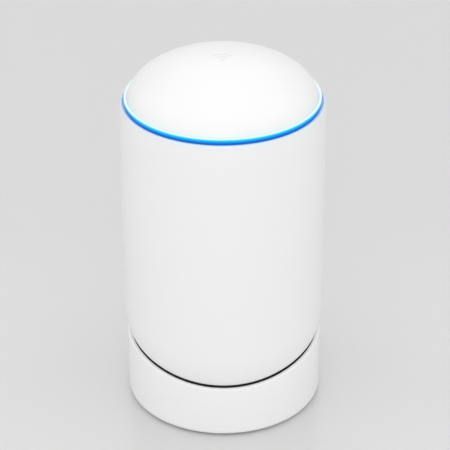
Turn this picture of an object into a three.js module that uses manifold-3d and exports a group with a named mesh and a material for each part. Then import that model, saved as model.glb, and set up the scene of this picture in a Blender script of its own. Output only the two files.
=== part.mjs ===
// A table-top mesh wifi node: a white domed canister with a glowing ring under its dome, a port bay
// in its back, and the boards, fan, antennas and mains supply that it holds inside.
// Millimetres, +Z up, origin at the centre of the foot. The front faces -Y and the ports face +Y.
// The stand, the base plate and the foot are measured from the table. Everything above the seam is
// measured from a level LIFT above it, and is raised by that much when the parts are put together.
import * as THREE from 'three';
import { mergeVertices } from 'three/addons/utils/BufferGeometryUtils.js';
import Module from 'manifold-3d';

const wasm = await Module();
wasm.setup();

// ---------------------------------------------------------------- driving dimensions

const HEIGHT = 204.7;
const LIFT = 20.5;
const BODY_R = 55;
const WALL = 2.4; // housing wall
// Groove between the housing and the stand: `front` is the height of its middle at the front and the
// back, and at the sides it lies higher by `rise`.
const SEAM = { front: 31.7, rise: 8, gap: 1.05 };
const EDGE = { r: 4, h: 18, rows: 6, inner: 48.8 }; // the housing's lower edge, drawn in elliptically
const STAND = { r: 54.1, bottom: 1, floor: 3.4, round: 3, bevel: 0.8, lip: 2, lipH: 1.6 };
const LIP_R = 36.2; // opening in the stand's underside
const SPACER = { inner: 49, tail: 5, sunk: 0.2 }; // ring that joins the housing to the stand
const SHOULDER = { z: 148, r: 54.5 }; // where the wall starts to lean in, and its radius at the rim
const RIM = { z: 159.65, round: 0.9, bore: 52.85, bevel: 0.3 };
const LEDGE = { r: 50.4, bottom: 149, top: 151 }; // rib that carries the light ring

const RING = { inner: 51, outer: 52.5, bottom: 153.5, top: 162.65, round: 0.7, slope: 0.1 };
const LED_BOARD = { inner: 50.6, outer: 52.5, thick: 1.2 };
const LED = { inner: 50.9, outer: 52.2, halfWidth: 0.8, height: 0.9, count: 16 };
const DOME = { r: 51.1, h: 24.1, wall: 2.2, skirtR: 50.7, skirtTop: 162.6, skirtBottom: 155, step: 0.6 };
const LUG = { inner: 47.9, outer: 49.8, nose: 51.2, noseH: 1.1, halfWidth: 4, drop: 2.2, root: 2 };

const BAY = { halfWidth: 17.5, bottom: 33.5, top: 145, corner: 8, floorY: 46, floor: 2, wall: 1.6 };
const BAY_GAP = 0.3; // between the housing's window and the bezel
const WINDOW_GAP = 0.2; // round a socket or the inlet in the bezel's floor
const BEHIND = 38; // a depth that lies inside the housing all over its window
const BEYOND = BODY_R + 5; // and one outside it
const SLOTS = { heights: [136.4, 138.6, 140.8], width: 18, height: 1.2 }; // vents above the sockets
// Snap hooks of the bezel; y is their outer face, just inside the housing wall.
const HOOK = { y: 48.6, heights: [60, 90, 120], height: 6, reach: 1 };
const JACK = { width: 16.2, height: 13.6, back: 26, front: 45.8, skin: 0.5, plugDepth: 5.5 };
const JACK_CENTRES = { wan: 64, lan_1: 127, lan_2: 112, lan_3: 97, lan_4: 82 };
// Right half of a jack's opening, from its middle: the latch's two steps below the plug's channel.
const JACK_MOUTH = [[2, -5.4], [2, -4.2], [3.2, -4.2], [3.2, -2.6], [5.95, -2.6], [5.95, 4.6]];
const CARRIER = { back: 5.6, thick: 1, halfWidth: 4.4, low: 2.1, high: 3.6 };
const WIRE = { count: 8, pitch: 1.02, thick: 0.4, length: 10.5, lean: 10, reach: 5.6, z: 3.4 };
const INLET = { z: 44.5, width: 22, height: 13, corner: 2, back: 27.8, front: 45.6 };
const CAVITY = { back: 32.5, lobeR: 4.2, lobeX: 3.9, halfHeight: 3.3 }; // in the inlet
const FLANGE = { width: 25.2, height: 13.8, thick: 1.2 }; // of the inlet, behind the bezel's floor
const PIN = { x: 4.3, r: 1.2, gap: 0.3, back: 27.2, length: 14, nose: 0.6 };
const RESET = { z: 54.2, tipR: 1, holeR: 1.3, tipY: 45.2, backY: 30, collarR: 2.2, collar: 1.2 };
const SWITCH = { half: 2.3, depth: 2.4, plungerR: 0.9, travelGap: 0.8 };
const LENS = { x: 11.8, width: 1.8, height: 3.2, gap: 0.1, spine: 2 };

const MAIN_BOARD = { y: 24, thick: 1.6, halfWidth: 40.5, bottom: 51.5, top: 141, holeR: 1.6, holeInset: 5 };
const POWER_BOARD = { y: -25.6, thick: 1.6, halfWidth: 40.5, bottom: 36, top: 136 };
const BOARD_CORNER = 3;
const HEATSINK = { halfWidth: 32, bottom: 62, top: 134, gap: 4, plate: 4, depth: 22 };
const FIN = { count: 13, pitch: 5.2, thick: 1.6 };
const CHIP = { z: 101, size: 22 };
const SHIELD = { x: 26, halfWidth: 12, bottom: 104, top: 134, depth: 4.4, skin: 0.5 };
const DIMPLE = { r: 4, depth: 0.3 }; // in a radio shield's lid
const TRANSFORMER = { halfWidth: 13, depth: 15, bottom: 78, top: 104, flange: 6 };
const WINDING = { halfWidth: 10, back: 1.5, front: 16.4, sunk: 0.5 };
const CAPACITOR = { r: 8, length: 29.2, x: 22, z: 106, gap: 0.2, groove: 0.8, grooveZ: 2.4 };
const MAINS_WIRE = { r: 1.1, steps: 12 };

const FRAME = { floor: 29.6, floorTop: 32, floorR: 48, deck: 146, deckTop: 149.4, deckR: 46, deckHole: 18 };
const LEG_R = 3.6;
const RAIL = { inner: 39, outer: 42.4, halfDepth: 26.8 };
const GUIDE_GAP = 0.3; // round a board's edge in its groove
const DECK = { bottom: 149.5, top: 151.1, r: 47, hole: 14 };
const NOTCH = { inner: 12, outer: 26, halfWidth: 3 }; // in the antenna deck, for a lead
const ANTENNA = { inner: 31, outer: 38, halfWidth: 10, skin: 0.6, height: 11 };
const ANTENNA_SLOT = { inner: 36, from: -7, to: 8, bottom: 3, top: 4.6 };
const COAX = { r: 0.65, steps: 16 };

const FAN = { size: 50, corner: 4, bottom: 14.2, top: 29.2, bore: 23.5, hubR: 11, shaftR: 1.5, screwAt: 20 };
const FAN_MOUNT = { r: 10, thick: 2.2, bearingGap: 0.2 };
const STRUT = { halfWidth: 1, thick: 2, angle: 20 };
const ROTOR = { lift: 2.7, topGap: 0.6, round: 1, shaftGap: 0.4 };
const BLADE = { count: 7, reach: 22.4, pitch: 38, thick: 1.1 };

const FOOT = { inner: 32.6, outer: 36.1, top: 2.15, chamfer: 0.4 };
const BASE = { r: 35.9, bottom: 2.2, web: 4.4, flangeR: 38.3, flange: 3.5, top: 7.8, rim: 2.6 };
const BOSS = { r: 4.4, pocket: 1.8, pocketGap: 0.4 }; // for a screw in the base plate
const VENT = { inner: 9, outer: 22.5, halfWidth: 0.9, count: 16 };
const SCREW = { headR: 2.6, headH: 1.5, round: 0.6, shankR: 1.2, circleR: 29, base: 14, fan: 18.4 };
const RECESS = { half: 1.5, halfWidth: 0.35, depth: 0.8 }; // the cross in a screw's head
const SHANK_GAP = 0.3; // round a screw in a clearance hole
const PILOT = { gap: 0.2, top: 18, roof: 0.4 }; // holes that the screws bite into

const CLEAR = 0.1; // gap between pieces that rest on each other
const PAST = 1; // how far a tool cuts past a face, and a joined solid reaches into the next

// Facets of a full turn, from the outer parts down to the screws.
const ROUND = {
  outer: 40, wide: 32, middle: 24, can: 20, rod: 16, plain: 14, boss: 12, tip: 10, screw: 8, cable: 6,
};
const CORNER = { outline: 5, part: 4, board: 3 }; // facets of a rounded corner

// ---------------------------------------------------------------- materials

const finish = (color, roughness, metalness = 0) =>
  new THREE.MeshStandardMaterial({ color, roughness, metalness });

const WHITE = finish(0xf1f1f2, 0.38);
const GREY_PLASTIC = finish(0xd9dadc, 0.5);
const BLACK_PLASTIC = finish(0x161618, 0.5);
const RUBBER = finish(0x3a3b3d, 0.85);
const GLOW = finish(0x1f9bf0, 0.3);
const CLEAR_PLASTIC = finish(0xdfe6ea, 0.15);
const BOARD = finish(0x14432c, 0.55);
const TINNED = finish(0xc4c6c8, 0.3, 1);
const GOLD = finish(0xd8a94a, 0.25, 1);
const ALUMINIUM = finish(0xb9bcc0, 0.4, 1);
const FRAME_PLASTIC = finish(0x6d7074, 0.6);
const TAPE = finish(0xd9b23c, 0.45);
const STEEL = finish(0x9a9da1, 0.3, 1);

// ---------------------------------------------------------------- solids

const WELD = 1e-4;

// A three.js geometry as a solid whose faces point outwards.
function solid(geometry) {
  const bare = geometry.index ? geometry.toNonIndexed() : geometry.clone();
  bare.deleteAttribute('normal');
  bare.deleteAttribute('uv');
  const merged = mergeVertices(bare, WELD);
  const triVerts = new Uint32Array(merged.index.array);
  const vertProperties = merged.attributes.position.array;
  const made = new wasm.Manifold(new wasm.Mesh({ numProp: 3, vertProperties, triVerts }));
  if (made.volume() > 0) return made;
  for (let i = 0; i < triVerts.length; i += 3) {
    [triVerts[i], triVerts[i + 1]] = [triVerts[i + 1], triVerts[i]];
  }
  return new wasm.Manifold(new wasm.Mesh({ numProp: 3, vertProperties, triVerts }));
}

const joined = (solids) => solids.reduce((all, next) => all.add(next));
const cut = (body, tools) => tools.reduce((left, tool) => left.subtract(tool), body);

function geometryOf(made) {
  const mesh = made.getMesh();
  const geometry = new THREE.BufferGeometry();
  geometry.setAttribute('position', new THREE.BufferAttribute(new Float32Array(mesh.vertProperties), 3));
  geometry.setIndex(new THREE.BufferAttribute(new Uint32Array(mesh.triVerts), 1));
  const faceted = geometry.toNonIndexed();
  faceted.computeVertexNormals();
  return faceted;
}

function piece(name, made, material) {
  const mesh = new THREE.Mesh(geometryOf(made), material);
  mesh.name = name;
  return mesh;
}

// A profile of [radius, height] points turned round the Z axis.
function turned(profile, segments = ROUND.outer) {
  const points = profile.map(([r, z]) => new THREE.Vector2(r, z));
  return solid(new THREE.LatheGeometry(points, segments).rotateX(Math.PI / 2));
}

// A closed ring: the profile returns to its first point.
const ringOf = (profile, segments) => turned([...profile, profile[0]], segments);

// A closed ring whose lower or upper edge runs along the seam: a point's third value, where it has
// one, is the share of the seam's rise that it takes.
function ringAlongSeam(profile) {
  const rows = [...profile, profile[0]];
  const lathe = new THREE.LatheGeometry(rows.map(([r, z]) => new THREE.Vector2(r, z)), ROUND.outer);
  lathe.rotateX(Math.PI / 2);
  const { position } = lathe.attributes;
  for (let i = 0; i < position.count; i += 1) {
    const share = rows[i % rows.length][2] ?? 0;
    const [x, y] = [position.getX(i), position.getY(i)];
    const sideways = x ** 2 / (x ** 2 + y ** 2);
    position.setZ(i, position.getZ(i) + share * SEAM.rise * sideways);
  }
  return solid(lathe);
}

const alongSeam = (points) => points.map(([r, z]) => [r, z, 1]);

// A block given by its lowest and highest corners.
function block([x0, y0, z0], [x1, y1, z1]) {
  const box = new THREE.BoxGeometry(x1 - x0, y1 - y0, z1 - z0);
  return solid(box.translate((x0 + x1) / 2, (y0 + y1) / 2, (z0 + z1) / 2));
}

// A block along Y, given by its centre and its size in the XZ plane.
function blockY([x, z], width, height, y0, y1) {
  return block([x - width / 2, y0, z - height / 2], [x + width / 2, y1, z + height / 2]);
}

// An upright cylinder.
function post(r, z0, z1, segments = ROUND.plain, [x, y] = [0, 0]) {
  const rod = new THREE.CylinderGeometry(r, r, z1 - z0, segments).rotateX(Math.PI / 2);
  return solid(rod.translate(x, y, (z0 + z1) / 2));
}

// A cylinder lying along Y.
function rodY(r, y0, y1, [x, z], segments = ROUND.plain) {
  return solid(new THREE.CylinderGeometry(r, r, y1 - y0, segments).translate(x, (y0 + y1) / 2, z));
}

// An outline in the XZ plane, pushed from y0 to y1.
function slabY(shape, y0, y1, curveSegments = CORNER.outline) {
  const options = { depth: y1 - y0, bevelEnabled: false, curveSegments };
  return solid(new THREE.ExtrudeGeometry(shape, options).rotateX(Math.PI / 2).translate(0, y1, 0));
}

// An outline in the XY plane, pushed from z0 to z1.
function slabZ(shape, z0, z1, curveSegments = CORNER.outline) {
  const options = { depth: z1 - z0, bevelEnabled: false, curveSegments };
  return solid(new THREE.ExtrudeGeometry(shape, options).translate(0, 0, z0));
}

// A rounded rectangle given by its centre and size.
function roundedBox([x, y], width, height, r) {
  return roundedRect(x - width / 2, y - height / 2, x + width / 2, y + height / 2, r);
}

function roundedRect(x0, y0, x1, y1, r) {
  const shape = new THREE.Shape();
  shape.moveTo(x0 + r, y0);
  shape.lineTo(x1 - r, y0);
  shape.absarc(x1 - r, y0 + r, r, -Math.PI / 2, 0);
  shape.lineTo(x1, y1 - r);
  shape.absarc(x1 - r, y1 - r, r, 0, Math.PI / 2);
  shape.lineTo(x0 + r, y1);
  shape.absarc(x0 + r, y1 - r, r, Math.PI / 2, Math.PI);
  shape.lineTo(x0, y0 + r);
  shape.absarc(x0 + r, y0 + r, r, Math.PI, 1.5 * Math.PI);
  return shape;
}

const steps = (count) => Array.from({ length: count }, (_, i) => i);
const spun = (made, degrees) => made.rotate([0, 0, degrees]);

// Copies of a solid at equal angles round the Z axis, the first at `from` degrees.
const around = (count, made, from = 0) => steps(count).map((i) => spun(made, from + (360 / count) * i));

// Points on a circular arc, at the given angles in degrees.
function arcPoints([x, y], r, angles) {
  return angles.map(THREE.MathUtils.degToRad).map((a) => [x + r * Math.cos(a), y + r * Math.sin(a)]);
}

function outline(points) {
  const shape = new THREE.Shape();
  points.forEach(([x, y], i) => shape[i ? 'lineTo' : 'moveTo'](x, y));
  shape.closePath();
  return shape;
}

// A round cable of the given radius along a smooth curve through the points.
function cable(points, { r, steps: count }) {
  const knots = points.map((p) => new THREE.Vector3(...p));
  const curve = new THREE.CatmullRomCurve3(knots, false, 'centripetal');
  const section = outline(arcPoints([0, 0], r, steps(ROUND.cable).map((i) => (360 / ROUND.cable) * i)));
  const options = { steps: count, bevelEnabled: false, extrudePath: curve };
  return solid(new THREE.ExtrudeGeometry(section, options));
}

// ---------------------------------------------------------------- housing

const EDGE_Z = SEAM.front + SEAM.gap / 2 - LIFT; // where the housing ends at the front and the back

// The housing's lower edge, from the seam up to the straight wall.
function edgeCurve() {
  const { r, h, rows } = EDGE;
  return steps(rows + 1).map((i) => {
    const a = (Math.PI / 2) * (1 - i / rows);
    return [BODY_R - r + r * Math.cos(a), EDGE_Z + h - h * Math.sin(a)];
  });
}

// The wall above its straight part: a slight lean, then the rounded rim.
function shoulderCurve() {
  const rise = RIM.z - RIM.round - SHOULDER.z;
  const lean = BODY_R - SHOULDER.r;
  const leaning = [0, 0.55, 1].map((t) => [BODY_R - lean * t ** 2, SHOULDER.z + rise * t]);
  const centre = [SHOULDER.r - RIM.round, RIM.z - RIM.round];
  return [...leaning, ...arcPoints(centre, RIM.round, [45, 90])];
}

// The outside of the housing over the bay's height, used to trim the bezel flush with it.
function housingEnvelope() {
  const [low, high] = [BAY.bottom - PAST, BAY.top + PAST];
  return turned([[0, low], [BODY_R, low], [BODY_R, high], [0, high]]);
}

function bayOutline(inset) {
  const { halfWidth, bottom, top, corner } = BAY;
  return roundedRect(-halfWidth + inset, bottom + inset, halfWidth - inset, top - inset, corner - inset);
}

function outerShell() {
  const bore = BODY_R - WALL;
  const shell = ringAlongSeam([
    ...alongSeam(edgeCurve()),
    ...shoulderCurve(),
    [RIM.bore, RIM.z - RIM.bevel],
    [RIM.bore, LEDGE.top],
    [LEDGE.r, LEDGE.top],
    [LEDGE.r, LEDGE.bottom],
    [bore, LEDGE.bottom - (bore - LEDGE.r)],
    ...alongSeam([[bore, EDGE_Z + EDGE.h], [EDGE.inner, EDGE_Z]]),
  ]);
  return piece('outer_shell', shell.subtract(slabY(bayOutline(0), BEHIND, BEYOND)), WHITE);
}

const STAND_TOP = SEAM.front - SEAM.gap / 2; // at the front and the back

// The lower housing: a cup with an opening for the base plate, and a rebate inside its rim.
function standHousing() {
  const { r, bottom, floor, round, bevel, lip, lipH } = STAND;
  const bore = r - WALL;
  const made = ringAlongSeam([
    [LIP_R, bottom],
    ...arcPoints([r - round, bottom + round], round, [-90, -60, -30, 0]),
    ...alongSeam([
      [r, STAND_TOP - bevel],
      [r - bevel, STAND_TOP],
      [r - lip, STAND_TOP],
      [r - lip, STAND_TOP - lipH],
      [bore, STAND_TOP - lipH],
    ]),
    [bore, floor],
    [LIP_R, floor],
  ]);
  return piece('stand_housing', made, WHITE);
}

// The dark ring at the bottom of the groove: a collar that lies in the stand's rebate, with a neck
// that the housing stands on and a tail inside the stand's wall.
function seamRing() {
  const { inner, tail, sunk } = SPACER;
  const collar = STAND.r - STAND.lip - CLEAR;
  const neck = BODY_R - EDGE.r - CLEAR;
  const skirt = STAND.r - WALL - CLEAR;
  const [low, shelf, top] = [STAND_TOP - tail, STAND_TOP - STAND.lipH + CLEAR, STAND_TOP + SEAM.gap - CLEAR];
  const profile = [
    [inner, low],
    [skirt, low],
    [skirt, shelf],
    [collar, shelf],
    [collar, STAND_TOP - sunk],
    [neck, STAND_TOP - sunk],
    [neck, top],
    [inner, top],
  ];
  return piece('seam_ring', ringAlongSeam(alongSeam(profile)), BLACK_PLASTIC);
}

// The cap: a half spheroid over a short skirt, with snap lugs that hook under the housing's ledge.
function topDome() {
  const centre = HEIGHT - LIFT - DOME.h;
  const arc = (inset, count, from) =>
    steps(count + 1).map((i) => {
      const a = from + (Math.PI / 2 - from) * (i / count);
      return [(DOME.r - inset) * Math.cos(a), centre + (DOME.h - inset) * Math.sin(a)];
    });
  const outer = arc(0, 7, Math.asin((DOME.skirtTop - centre) / DOME.h));
  const inner = arc(DOME.wall, 5, 0);
  outer.at(-1)[0] = 0;
  inner.at(-1)[0] = 0;
  const cap = turned([
    ...inner.reverse(),
    [DOME.r - DOME.wall, DOME.skirtBottom],
    [DOME.skirtR, DOME.skirtBottom],
    [DOME.skirtR, DOME.skirtTop - DOME.step],
    ...outer,
  ]);
  const { halfWidth } = LUG;
  const lugBottom = LEDGE.bottom - LUG.drop;
  const legTop = DOME.skirtBottom + LUG.root;
  const leg = block([LUG.inner, -halfWidth, lugBottom], [LUG.outer, halfWidth, legTop]);
  const noseTop = lugBottom + LUG.noseH;
  const nose = block([LUG.outer - PAST, -halfWidth, lugBottom], [LUG.nose, halfWidth, noseTop]);
  return piece('top_dome', joined([cap, ...around(4, leg.add(nose), 45)]), WHITE);
}

function basePlate() {
  const { r, bottom, web, top } = BASE;
  const plate = turned([
    [0, bottom],
    [r, bottom],
    [r, BASE.flange],
    [BASE.flangeR, BASE.flange],
    [BASE.flangeR, top],
    [r - BASE.rim, top],
    [r - BASE.rim, web],
    [0, web],
  ]);
  const at = [SCREW.circleR, 0];
  const bosses = around(4, post(BOSS.r, bottom, top, ROUND.boss, at));
  const pocketR = SCREW.headR + BOSS.pocketGap;
  const headPockets = around(4, post(pocketR, bottom - PAST, bottom + BOSS.pocket, ROUND.boss, at));
  const shankHoles = around(4, post(SCREW.shankR + SHANK_GAP, bottom - PAST, top + PAST, ROUND.screw, at));
  const { halfWidth, count } = VENT;
  const vent = block([VENT.inner, -halfWidth, bottom - PAST], [VENT.outer, halfWidth, top + PAST]);
  const vents = around(count, vent, 180 / count);
  const made = cut(joined([plate, ...bosses]), [...headPockets, ...shankHoles, ...vents]);
  return piece('base_plate', made, GREY_PLASTIC);
}

function footRing() {
  const ring = ringOf([
    [FOOT.inner, 0],
    [FOOT.outer - FOOT.chamfer, 0],
    [FOOT.outer, FOOT.chamfer],
    [FOOT.outer, FOOT.top],
    [FOOT.inner, FOOT.top],
  ]);
  return piece('foot_ring', ring, RUBBER);
}

// A pan-head screw with a cross recess, its head at the bottom and its shank pointing up.
function screw(name, [x, y], headZ, length) {
  const { headR, headH, round, shankR } = SCREW;
  const profile = [[0, 0], [headR - round, 0], [headR, round], [headR, headH], [0, headH]];
  const shank = post(shankR, headH - CLEAR, length, ROUND.screw);
  const { half, halfWidth, depth } = RECESS;
  const slot = block([-half, -halfWidth, -PAST], [half, halfWidth, depth]);
  const made = cut(turned(profile, ROUND.boss).add(shank), [slot, spun(slot, 90)]);
  const mesh = piece(name, made, STEEL);
  mesh.position.set(x, y, headZ);
  return mesh;
}

// ---------------------------------------------------------------- light ring

function lightRing() {
  const { inner, outer, bottom, top, round } = RING;
  const ring = ringOf([
    [inner, bottom],
    [outer, bottom],
    ...arcPoints([outer - round, top - round], round, [0, 45, 90]),
    [inner, top - RING.slope],
  ]);
  return piece('light_ring', ring, GLOW);
}

function ledRingBoard() {
  const { inner, outer, thick } = LED_BOARD;
  const bottom = LEDGE.top + CLEAR / 2;
  const top = bottom + thick;
  const board = ringOf([[inner, bottom], [outer, bottom], [outer, top], [inner, top]]);
  const { halfWidth, height, count } = LED;
  const led = block([LED.inner, -halfWidth, bottom + PAST], [LED.outer, halfWidth, top + height]);
  return piece('led_ring_board', joined([board, ...around(count, led, 180 / count)]), BOARD);
}

// ---------------------------------------------------------------- port bay

// The opening of a modular jack, centred on [0, z].
function jackOutline(z) {
  const left = JACK_MOUTH.map(([x, h]) => [-x, h]).reverse();
  return outline([...JACK_MOUTH, ...left].map(([x, h]) => [x, z + h]));
}

function jackShield(name, z) {
  const { width, height, back, front, skin } = JACK;
  const outside = blockY([0, z], width, height, back, front);
  const inside = blockY([0, z], width - 2 * skin, height - 2 * skin, back - PAST, front - skin);
  return piece(name, cut(outside, [inside, slabY(jackOutline(z), back, front + PAST)]), TINNED);
}

function jackInsert(name, z) {
  const { width, height, back, front, skin, plugDepth } = JACK;
  const gap = skin + CLEAR;
  const body = blockY([0, z], width - 2 * gap, height - 2 * gap, back, front - gap);
  return piece(name, body.subtract(slabY(jackOutline(z), back + plugDepth, front + PAST)), BLACK_PLASTIC);
}

// Eight sprung wires, held together by the carrier that they are moulded into.
function jackContacts(name, z) {
  const y = JACK.back + CARRIER.back;
  const { halfWidth, thick: depth, low, high } = CARRIER;
  const carrier = block([-halfWidth, y, z + low], [halfWidth, y + depth, z + high]);
  const { count, pitch, thick, length, reach } = WIRE;
  const wires = steps(count).map((i) => {
    const wire = new THREE.BoxGeometry(thick, length, thick);
    const leaning = wire.rotateX(THREE.MathUtils.degToRad(WIRE.lean));
    return solid(leaning.translate((i - (count - 1) / 2) * pitch, y + reach, z + WIRE.z));
  });
  return piece(name, joined([carrier, ...wires]), GOLD);
}

const BAY_BACK = BAY.floorY - BAY.floor; // rear face of the bezel's floor

function powerInlet() {
  const { z, width, height, corner, back, front } = INLET;
  const { back: cavityY, lobeR, lobeX, halfHeight } = CAVITY;
  const cavity = [
    rodY(lobeR, cavityY, front + PAST, [-lobeX, z]),
    rodY(lobeR, cavityY, front + PAST, [lobeX, z]),
    block([-lobeX, cavityY, z - halfHeight], [lobeX, front + PAST, z + halfHeight]),
  ];
  const pinHole = (x) => rodY(PIN.r + PIN.gap, back - PAST, cavityY + PAST, [x, z], ROUND.boss);
  const flangeFront = BAY_BACK - CLEAR;
  const flange = blockY([0, z], FLANGE.width, FLANGE.height, flangeFront - FLANGE.thick, flangeFront);
  const body = slabY(roundedBox([0, z], width, height, corner), back, front, CORNER.board).add(flange);
  return piece('power_inlet', cut(body, [...cavity, pinHole(-PIN.x), pinHole(PIN.x)]), BLACK_PLASTIC);
}

function inletPin(name, side) {
  const { r, length, nose } = PIN;
  const pin = turned([[0, 0], [r, 0], [r, length - nose], [r - nose, length], [0, length]], ROUND.boss);
  const mesh = piece(name, pin, TINNED);
  mesh.rotation.x = -Math.PI / 2;
  mesh.position.set(side * PIN.x, PIN.back, INLET.z);
  return mesh;
}

// The holes in the bezel's floor: five sockets with their lamps, the vents, the inlet and the button.
function bezelHoles() {
  const ends = [BAY_BACK - PAST, BAY.floorY + PAST];
  const through = (at, width, height, gap) => blockY(at, width + 2 * gap, height + 2 * gap, ...ends);
  const { z, width, height, corner } = INLET;
  const inletHole = roundedBox([0, z], width + 2 * WINDOW_GAP, height + 2 * WINDOW_GAP, corner + WINDOW_GAP);
  const centres = Object.values(JACK_CENTRES);
  return [
    ...centres.map((at) => through([0, at], JACK.width, JACK.height, WINDOW_GAP)),
    ...centres.map((at) => through([LENS.x, at], LENS.width, LENS.height, LENS.gap)),
    ...SLOTS.heights.map((at) => through([0, at], SLOTS.width, SLOTS.height, 0)),
    slabY(inletHole, ...ends, CORNER.part),
    rodY(RESET.holeR, ...ends, [0, RESET.z], ROUND.rod),
  ];
}

function portBezel() {
  const outside = slabY(bayOutline(BAY_GAP), BAY_BACK, BEYOND);
  const inside = slabY(bayOutline(BAY_GAP + BAY.wall), BAY.floorY, BEYOND + PAST);
  const tub = outside.subtract(inside).intersect(housingEnvelope());
  const width = BAY.wall + HOOK.reach;
  const hookX = BAY.halfWidth + HOOK.reach - width / 2;
  const hooks = [-hookX, hookX].flatMap((x) =>
    HOOK.heights.map((z) => blockY([x, z], width, HOOK.height, BAY.floorY, HOOK.y)),
  );
  return piece('port_bezel', cut(joined([tub, ...hooks]), bezelHoles()), WHITE);
}

// A comb of clear plastic: a spine behind the bezel with one window for each port's lamp.
function portLightPipe() {
  const { x, width, height, spine } = LENS;
  const centres = Object.values(JACK_CENTRES);
  const [lowest, highest] = [Math.min(...centres), Math.max(...centres)];
  const front = BAY_BACK - CLEAR;
  const bar = blockY([x, (lowest + highest) / 2], width, highest - lowest + 2 * spine, front - spine, front);
  const lenses = centres.map((z) => blockY([x, z], width, height, front - PAST, BAY.floorY - CLEAR / 2));
  return piece('port_light_pipe', joined([bar, ...lenses]), CLEAR_PLASTIC);
}

function resetButton() {
  const { z, tipR, tipY, backY, collarR, collar } = RESET;
  const front = BAY_BACK - CLEAR;
  const stem = rodY(tipR, backY, tipY, [0, z], ROUND.rod);
  const stop = rodY(collarR, front - collar, front, [0, z], ROUND.rod);
  return piece('reset_button', stem.add(stop), GREY_PLASTIC);
}

function resetSwitch() {
  const rear = MAIN_BOARD.y + MAIN_BOARD.thick + CLEAR;
  const { half, depth, plungerR, travelGap } = SWITCH;
  const { z, backY } = RESET;
  const can = block([-half, rear, z - half], [half, rear + depth, z + half]);
  const plunger = rodY(plungerR, rear + depth / 2, backY - travelGap, [0, z], ROUND.tip);
  return piece('reset_switch', can.add(plunger), BLACK_PLASTIC);
}

// ---------------------------------------------------------------- boards

function boardSlab({ y, thick, halfWidth, bottom, top }) {
  const shape = roundedRect(-halfWidth, bottom, halfWidth, top, BOARD_CORNER);
  return slabY(shape, y, y + thick, CORNER.board);
}

function mainBoard() {
  const { y, thick, halfWidth, bottom, top, holeR, holeInset } = MAIN_BOARD;
  const holes = [holeInset - halfWidth, halfWidth - holeInset].flatMap((x) =>
    [bottom + holeInset, top - holeInset].map((z) =>
      rodY(holeR, y - PAST, y + thick + PAST, [x, z], ROUND.boss),
    ),
  );
  return piece('main_board', cut(boardSlab(MAIN_BOARD), holes), BOARD);
}

function heatsink() {
  const { halfWidth, bottom, top, gap, plate, depth } = HEATSINK;
  const back = MAIN_BOARD.y - gap;
  const base = block([-halfWidth, back - plate, bottom], [halfWidth, back, top]);
  const { count, pitch, thick } = FIN;
  const fins = steps(count).map((i) => {
    const x = (i - (count - 1) / 2) * pitch;
    return block([x - thick / 2, back - depth, bottom], [x + thick / 2, back - plate + PAST, top]);
  });
  return piece('heatsink', joined([base, ...fins]), ALUMINIUM);
}

function processor() {
  const { z, size } = CHIP;
  const face = MAIN_BOARD.y - CLEAR;
  return piece('processor', blockY([0, z], size, size, face - HEATSINK.gap + 2 * CLEAR, face), BLACK_PLASTIC);
}

// A pressed cover over the radio parts, with a rim that stands on the board.
function radioShield(name, side) {
  const rear = MAIN_BOARD.y + MAIN_BOARD.thick + CLEAR;
  const { halfWidth, bottom, top, depth, skin } = SHIELD;
  const at = [side * SHIELD.x, (bottom + top) / 2];
  const can = blockY(at, 2 * halfWidth, top - bottom, rear, rear + depth);
  const [width, height] = [2 * (halfWidth - skin), top - bottom - 2 * skin];
  const inside = blockY(at, width, height, rear - PAST, rear + depth - skin);
  const dent = rodY(DIMPLE.r, rear + depth - DIMPLE.depth, rear + depth + PAST, at, ROUND.rod);
  return piece(name, cut(can, [inside, dent]), TINNED);
}

const powerBoard = () => piece('power_board', boardSlab(POWER_BOARD), BOARD);

const POWER_FACE = POWER_BOARD.y + POWER_BOARD.thick + CLEAR;

function transformer() {
  const { halfWidth, depth, bottom, top, flange } = TRANSFORMER;
  const limb = (z) => block([-halfWidth, POWER_FACE, z], [halfWidth, POWER_FACE + depth, z + flange]);
  const core = limb(bottom).add(limb(top - flange));
  const { halfWidth: half, back, front, sunk } = WINDING;
  const winding = block(
    [-half, POWER_FACE + back, bottom + flange - sunk],
    [half, POWER_FACE + front, top - flange + sunk],
  );
  return piece('transformer', core.add(winding), TAPE);
}

// An electrolytic can lying on the board along Z, with the groove near its sealed end.
function bulkCapacitor() {
  const { r, length, x, z, gap, groove, grooveZ } = CAPACITOR;
  const dip = [[r, grooveZ], [r - groove, grooveZ + groove], [r, grooveZ + 2 * groove]];
  const shoulder = [[r, length - groove], [r - groove, length]];
  const can = turned([[0, 0], [r, 0], ...dip, ...shoulder, [0, length]], ROUND.can);
  const mesh = piece('bulk_capacitor', can, BLACK_PLASTIC);
  mesh.position.set(x, POWER_FACE + r + gap, z);
  return mesh;
}

// One mains wire from an inlet pin to the power board, through points chosen along its way.
function powerLead(name, side) {
  const { z } = INLET;
  const lead = cable([
    [side * PIN.x, 27, z],
    [side * PIN.x, 22, z],
    [side * 8, 6, z - 2],
    [side * 10, -12, z - 3],
    [side * 10, POWER_FACE + 0.3, z - 3],
  ], MAINS_WIRE);
  return piece(name, lead, side < 0 ? BLACK_PLASTIC : WHITE);
}

// ---------------------------------------------------------------- frame and fan

// The grooves that the boards' right-hand edges slide into.
function guideGrooves() {
  return [MAIN_BOARD, POWER_BOARD].map(({ y, thick, halfWidth, bottom, top }) =>
    block(
      [RAIL.inner - PAST, y - GUIDE_GAP, bottom - GUIDE_GAP],
      [halfWidth + GUIDE_GAP, y + thick + GUIDE_GAP, top + GUIDE_GAP],
    ),
  );
}

function disc(r, hole, z0, z1) {
  return post(r, z0, z1, ROUND.wide).subtract(post(hole, z0 - PAST, z1 + PAST, ROUND.middle));
}

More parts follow.
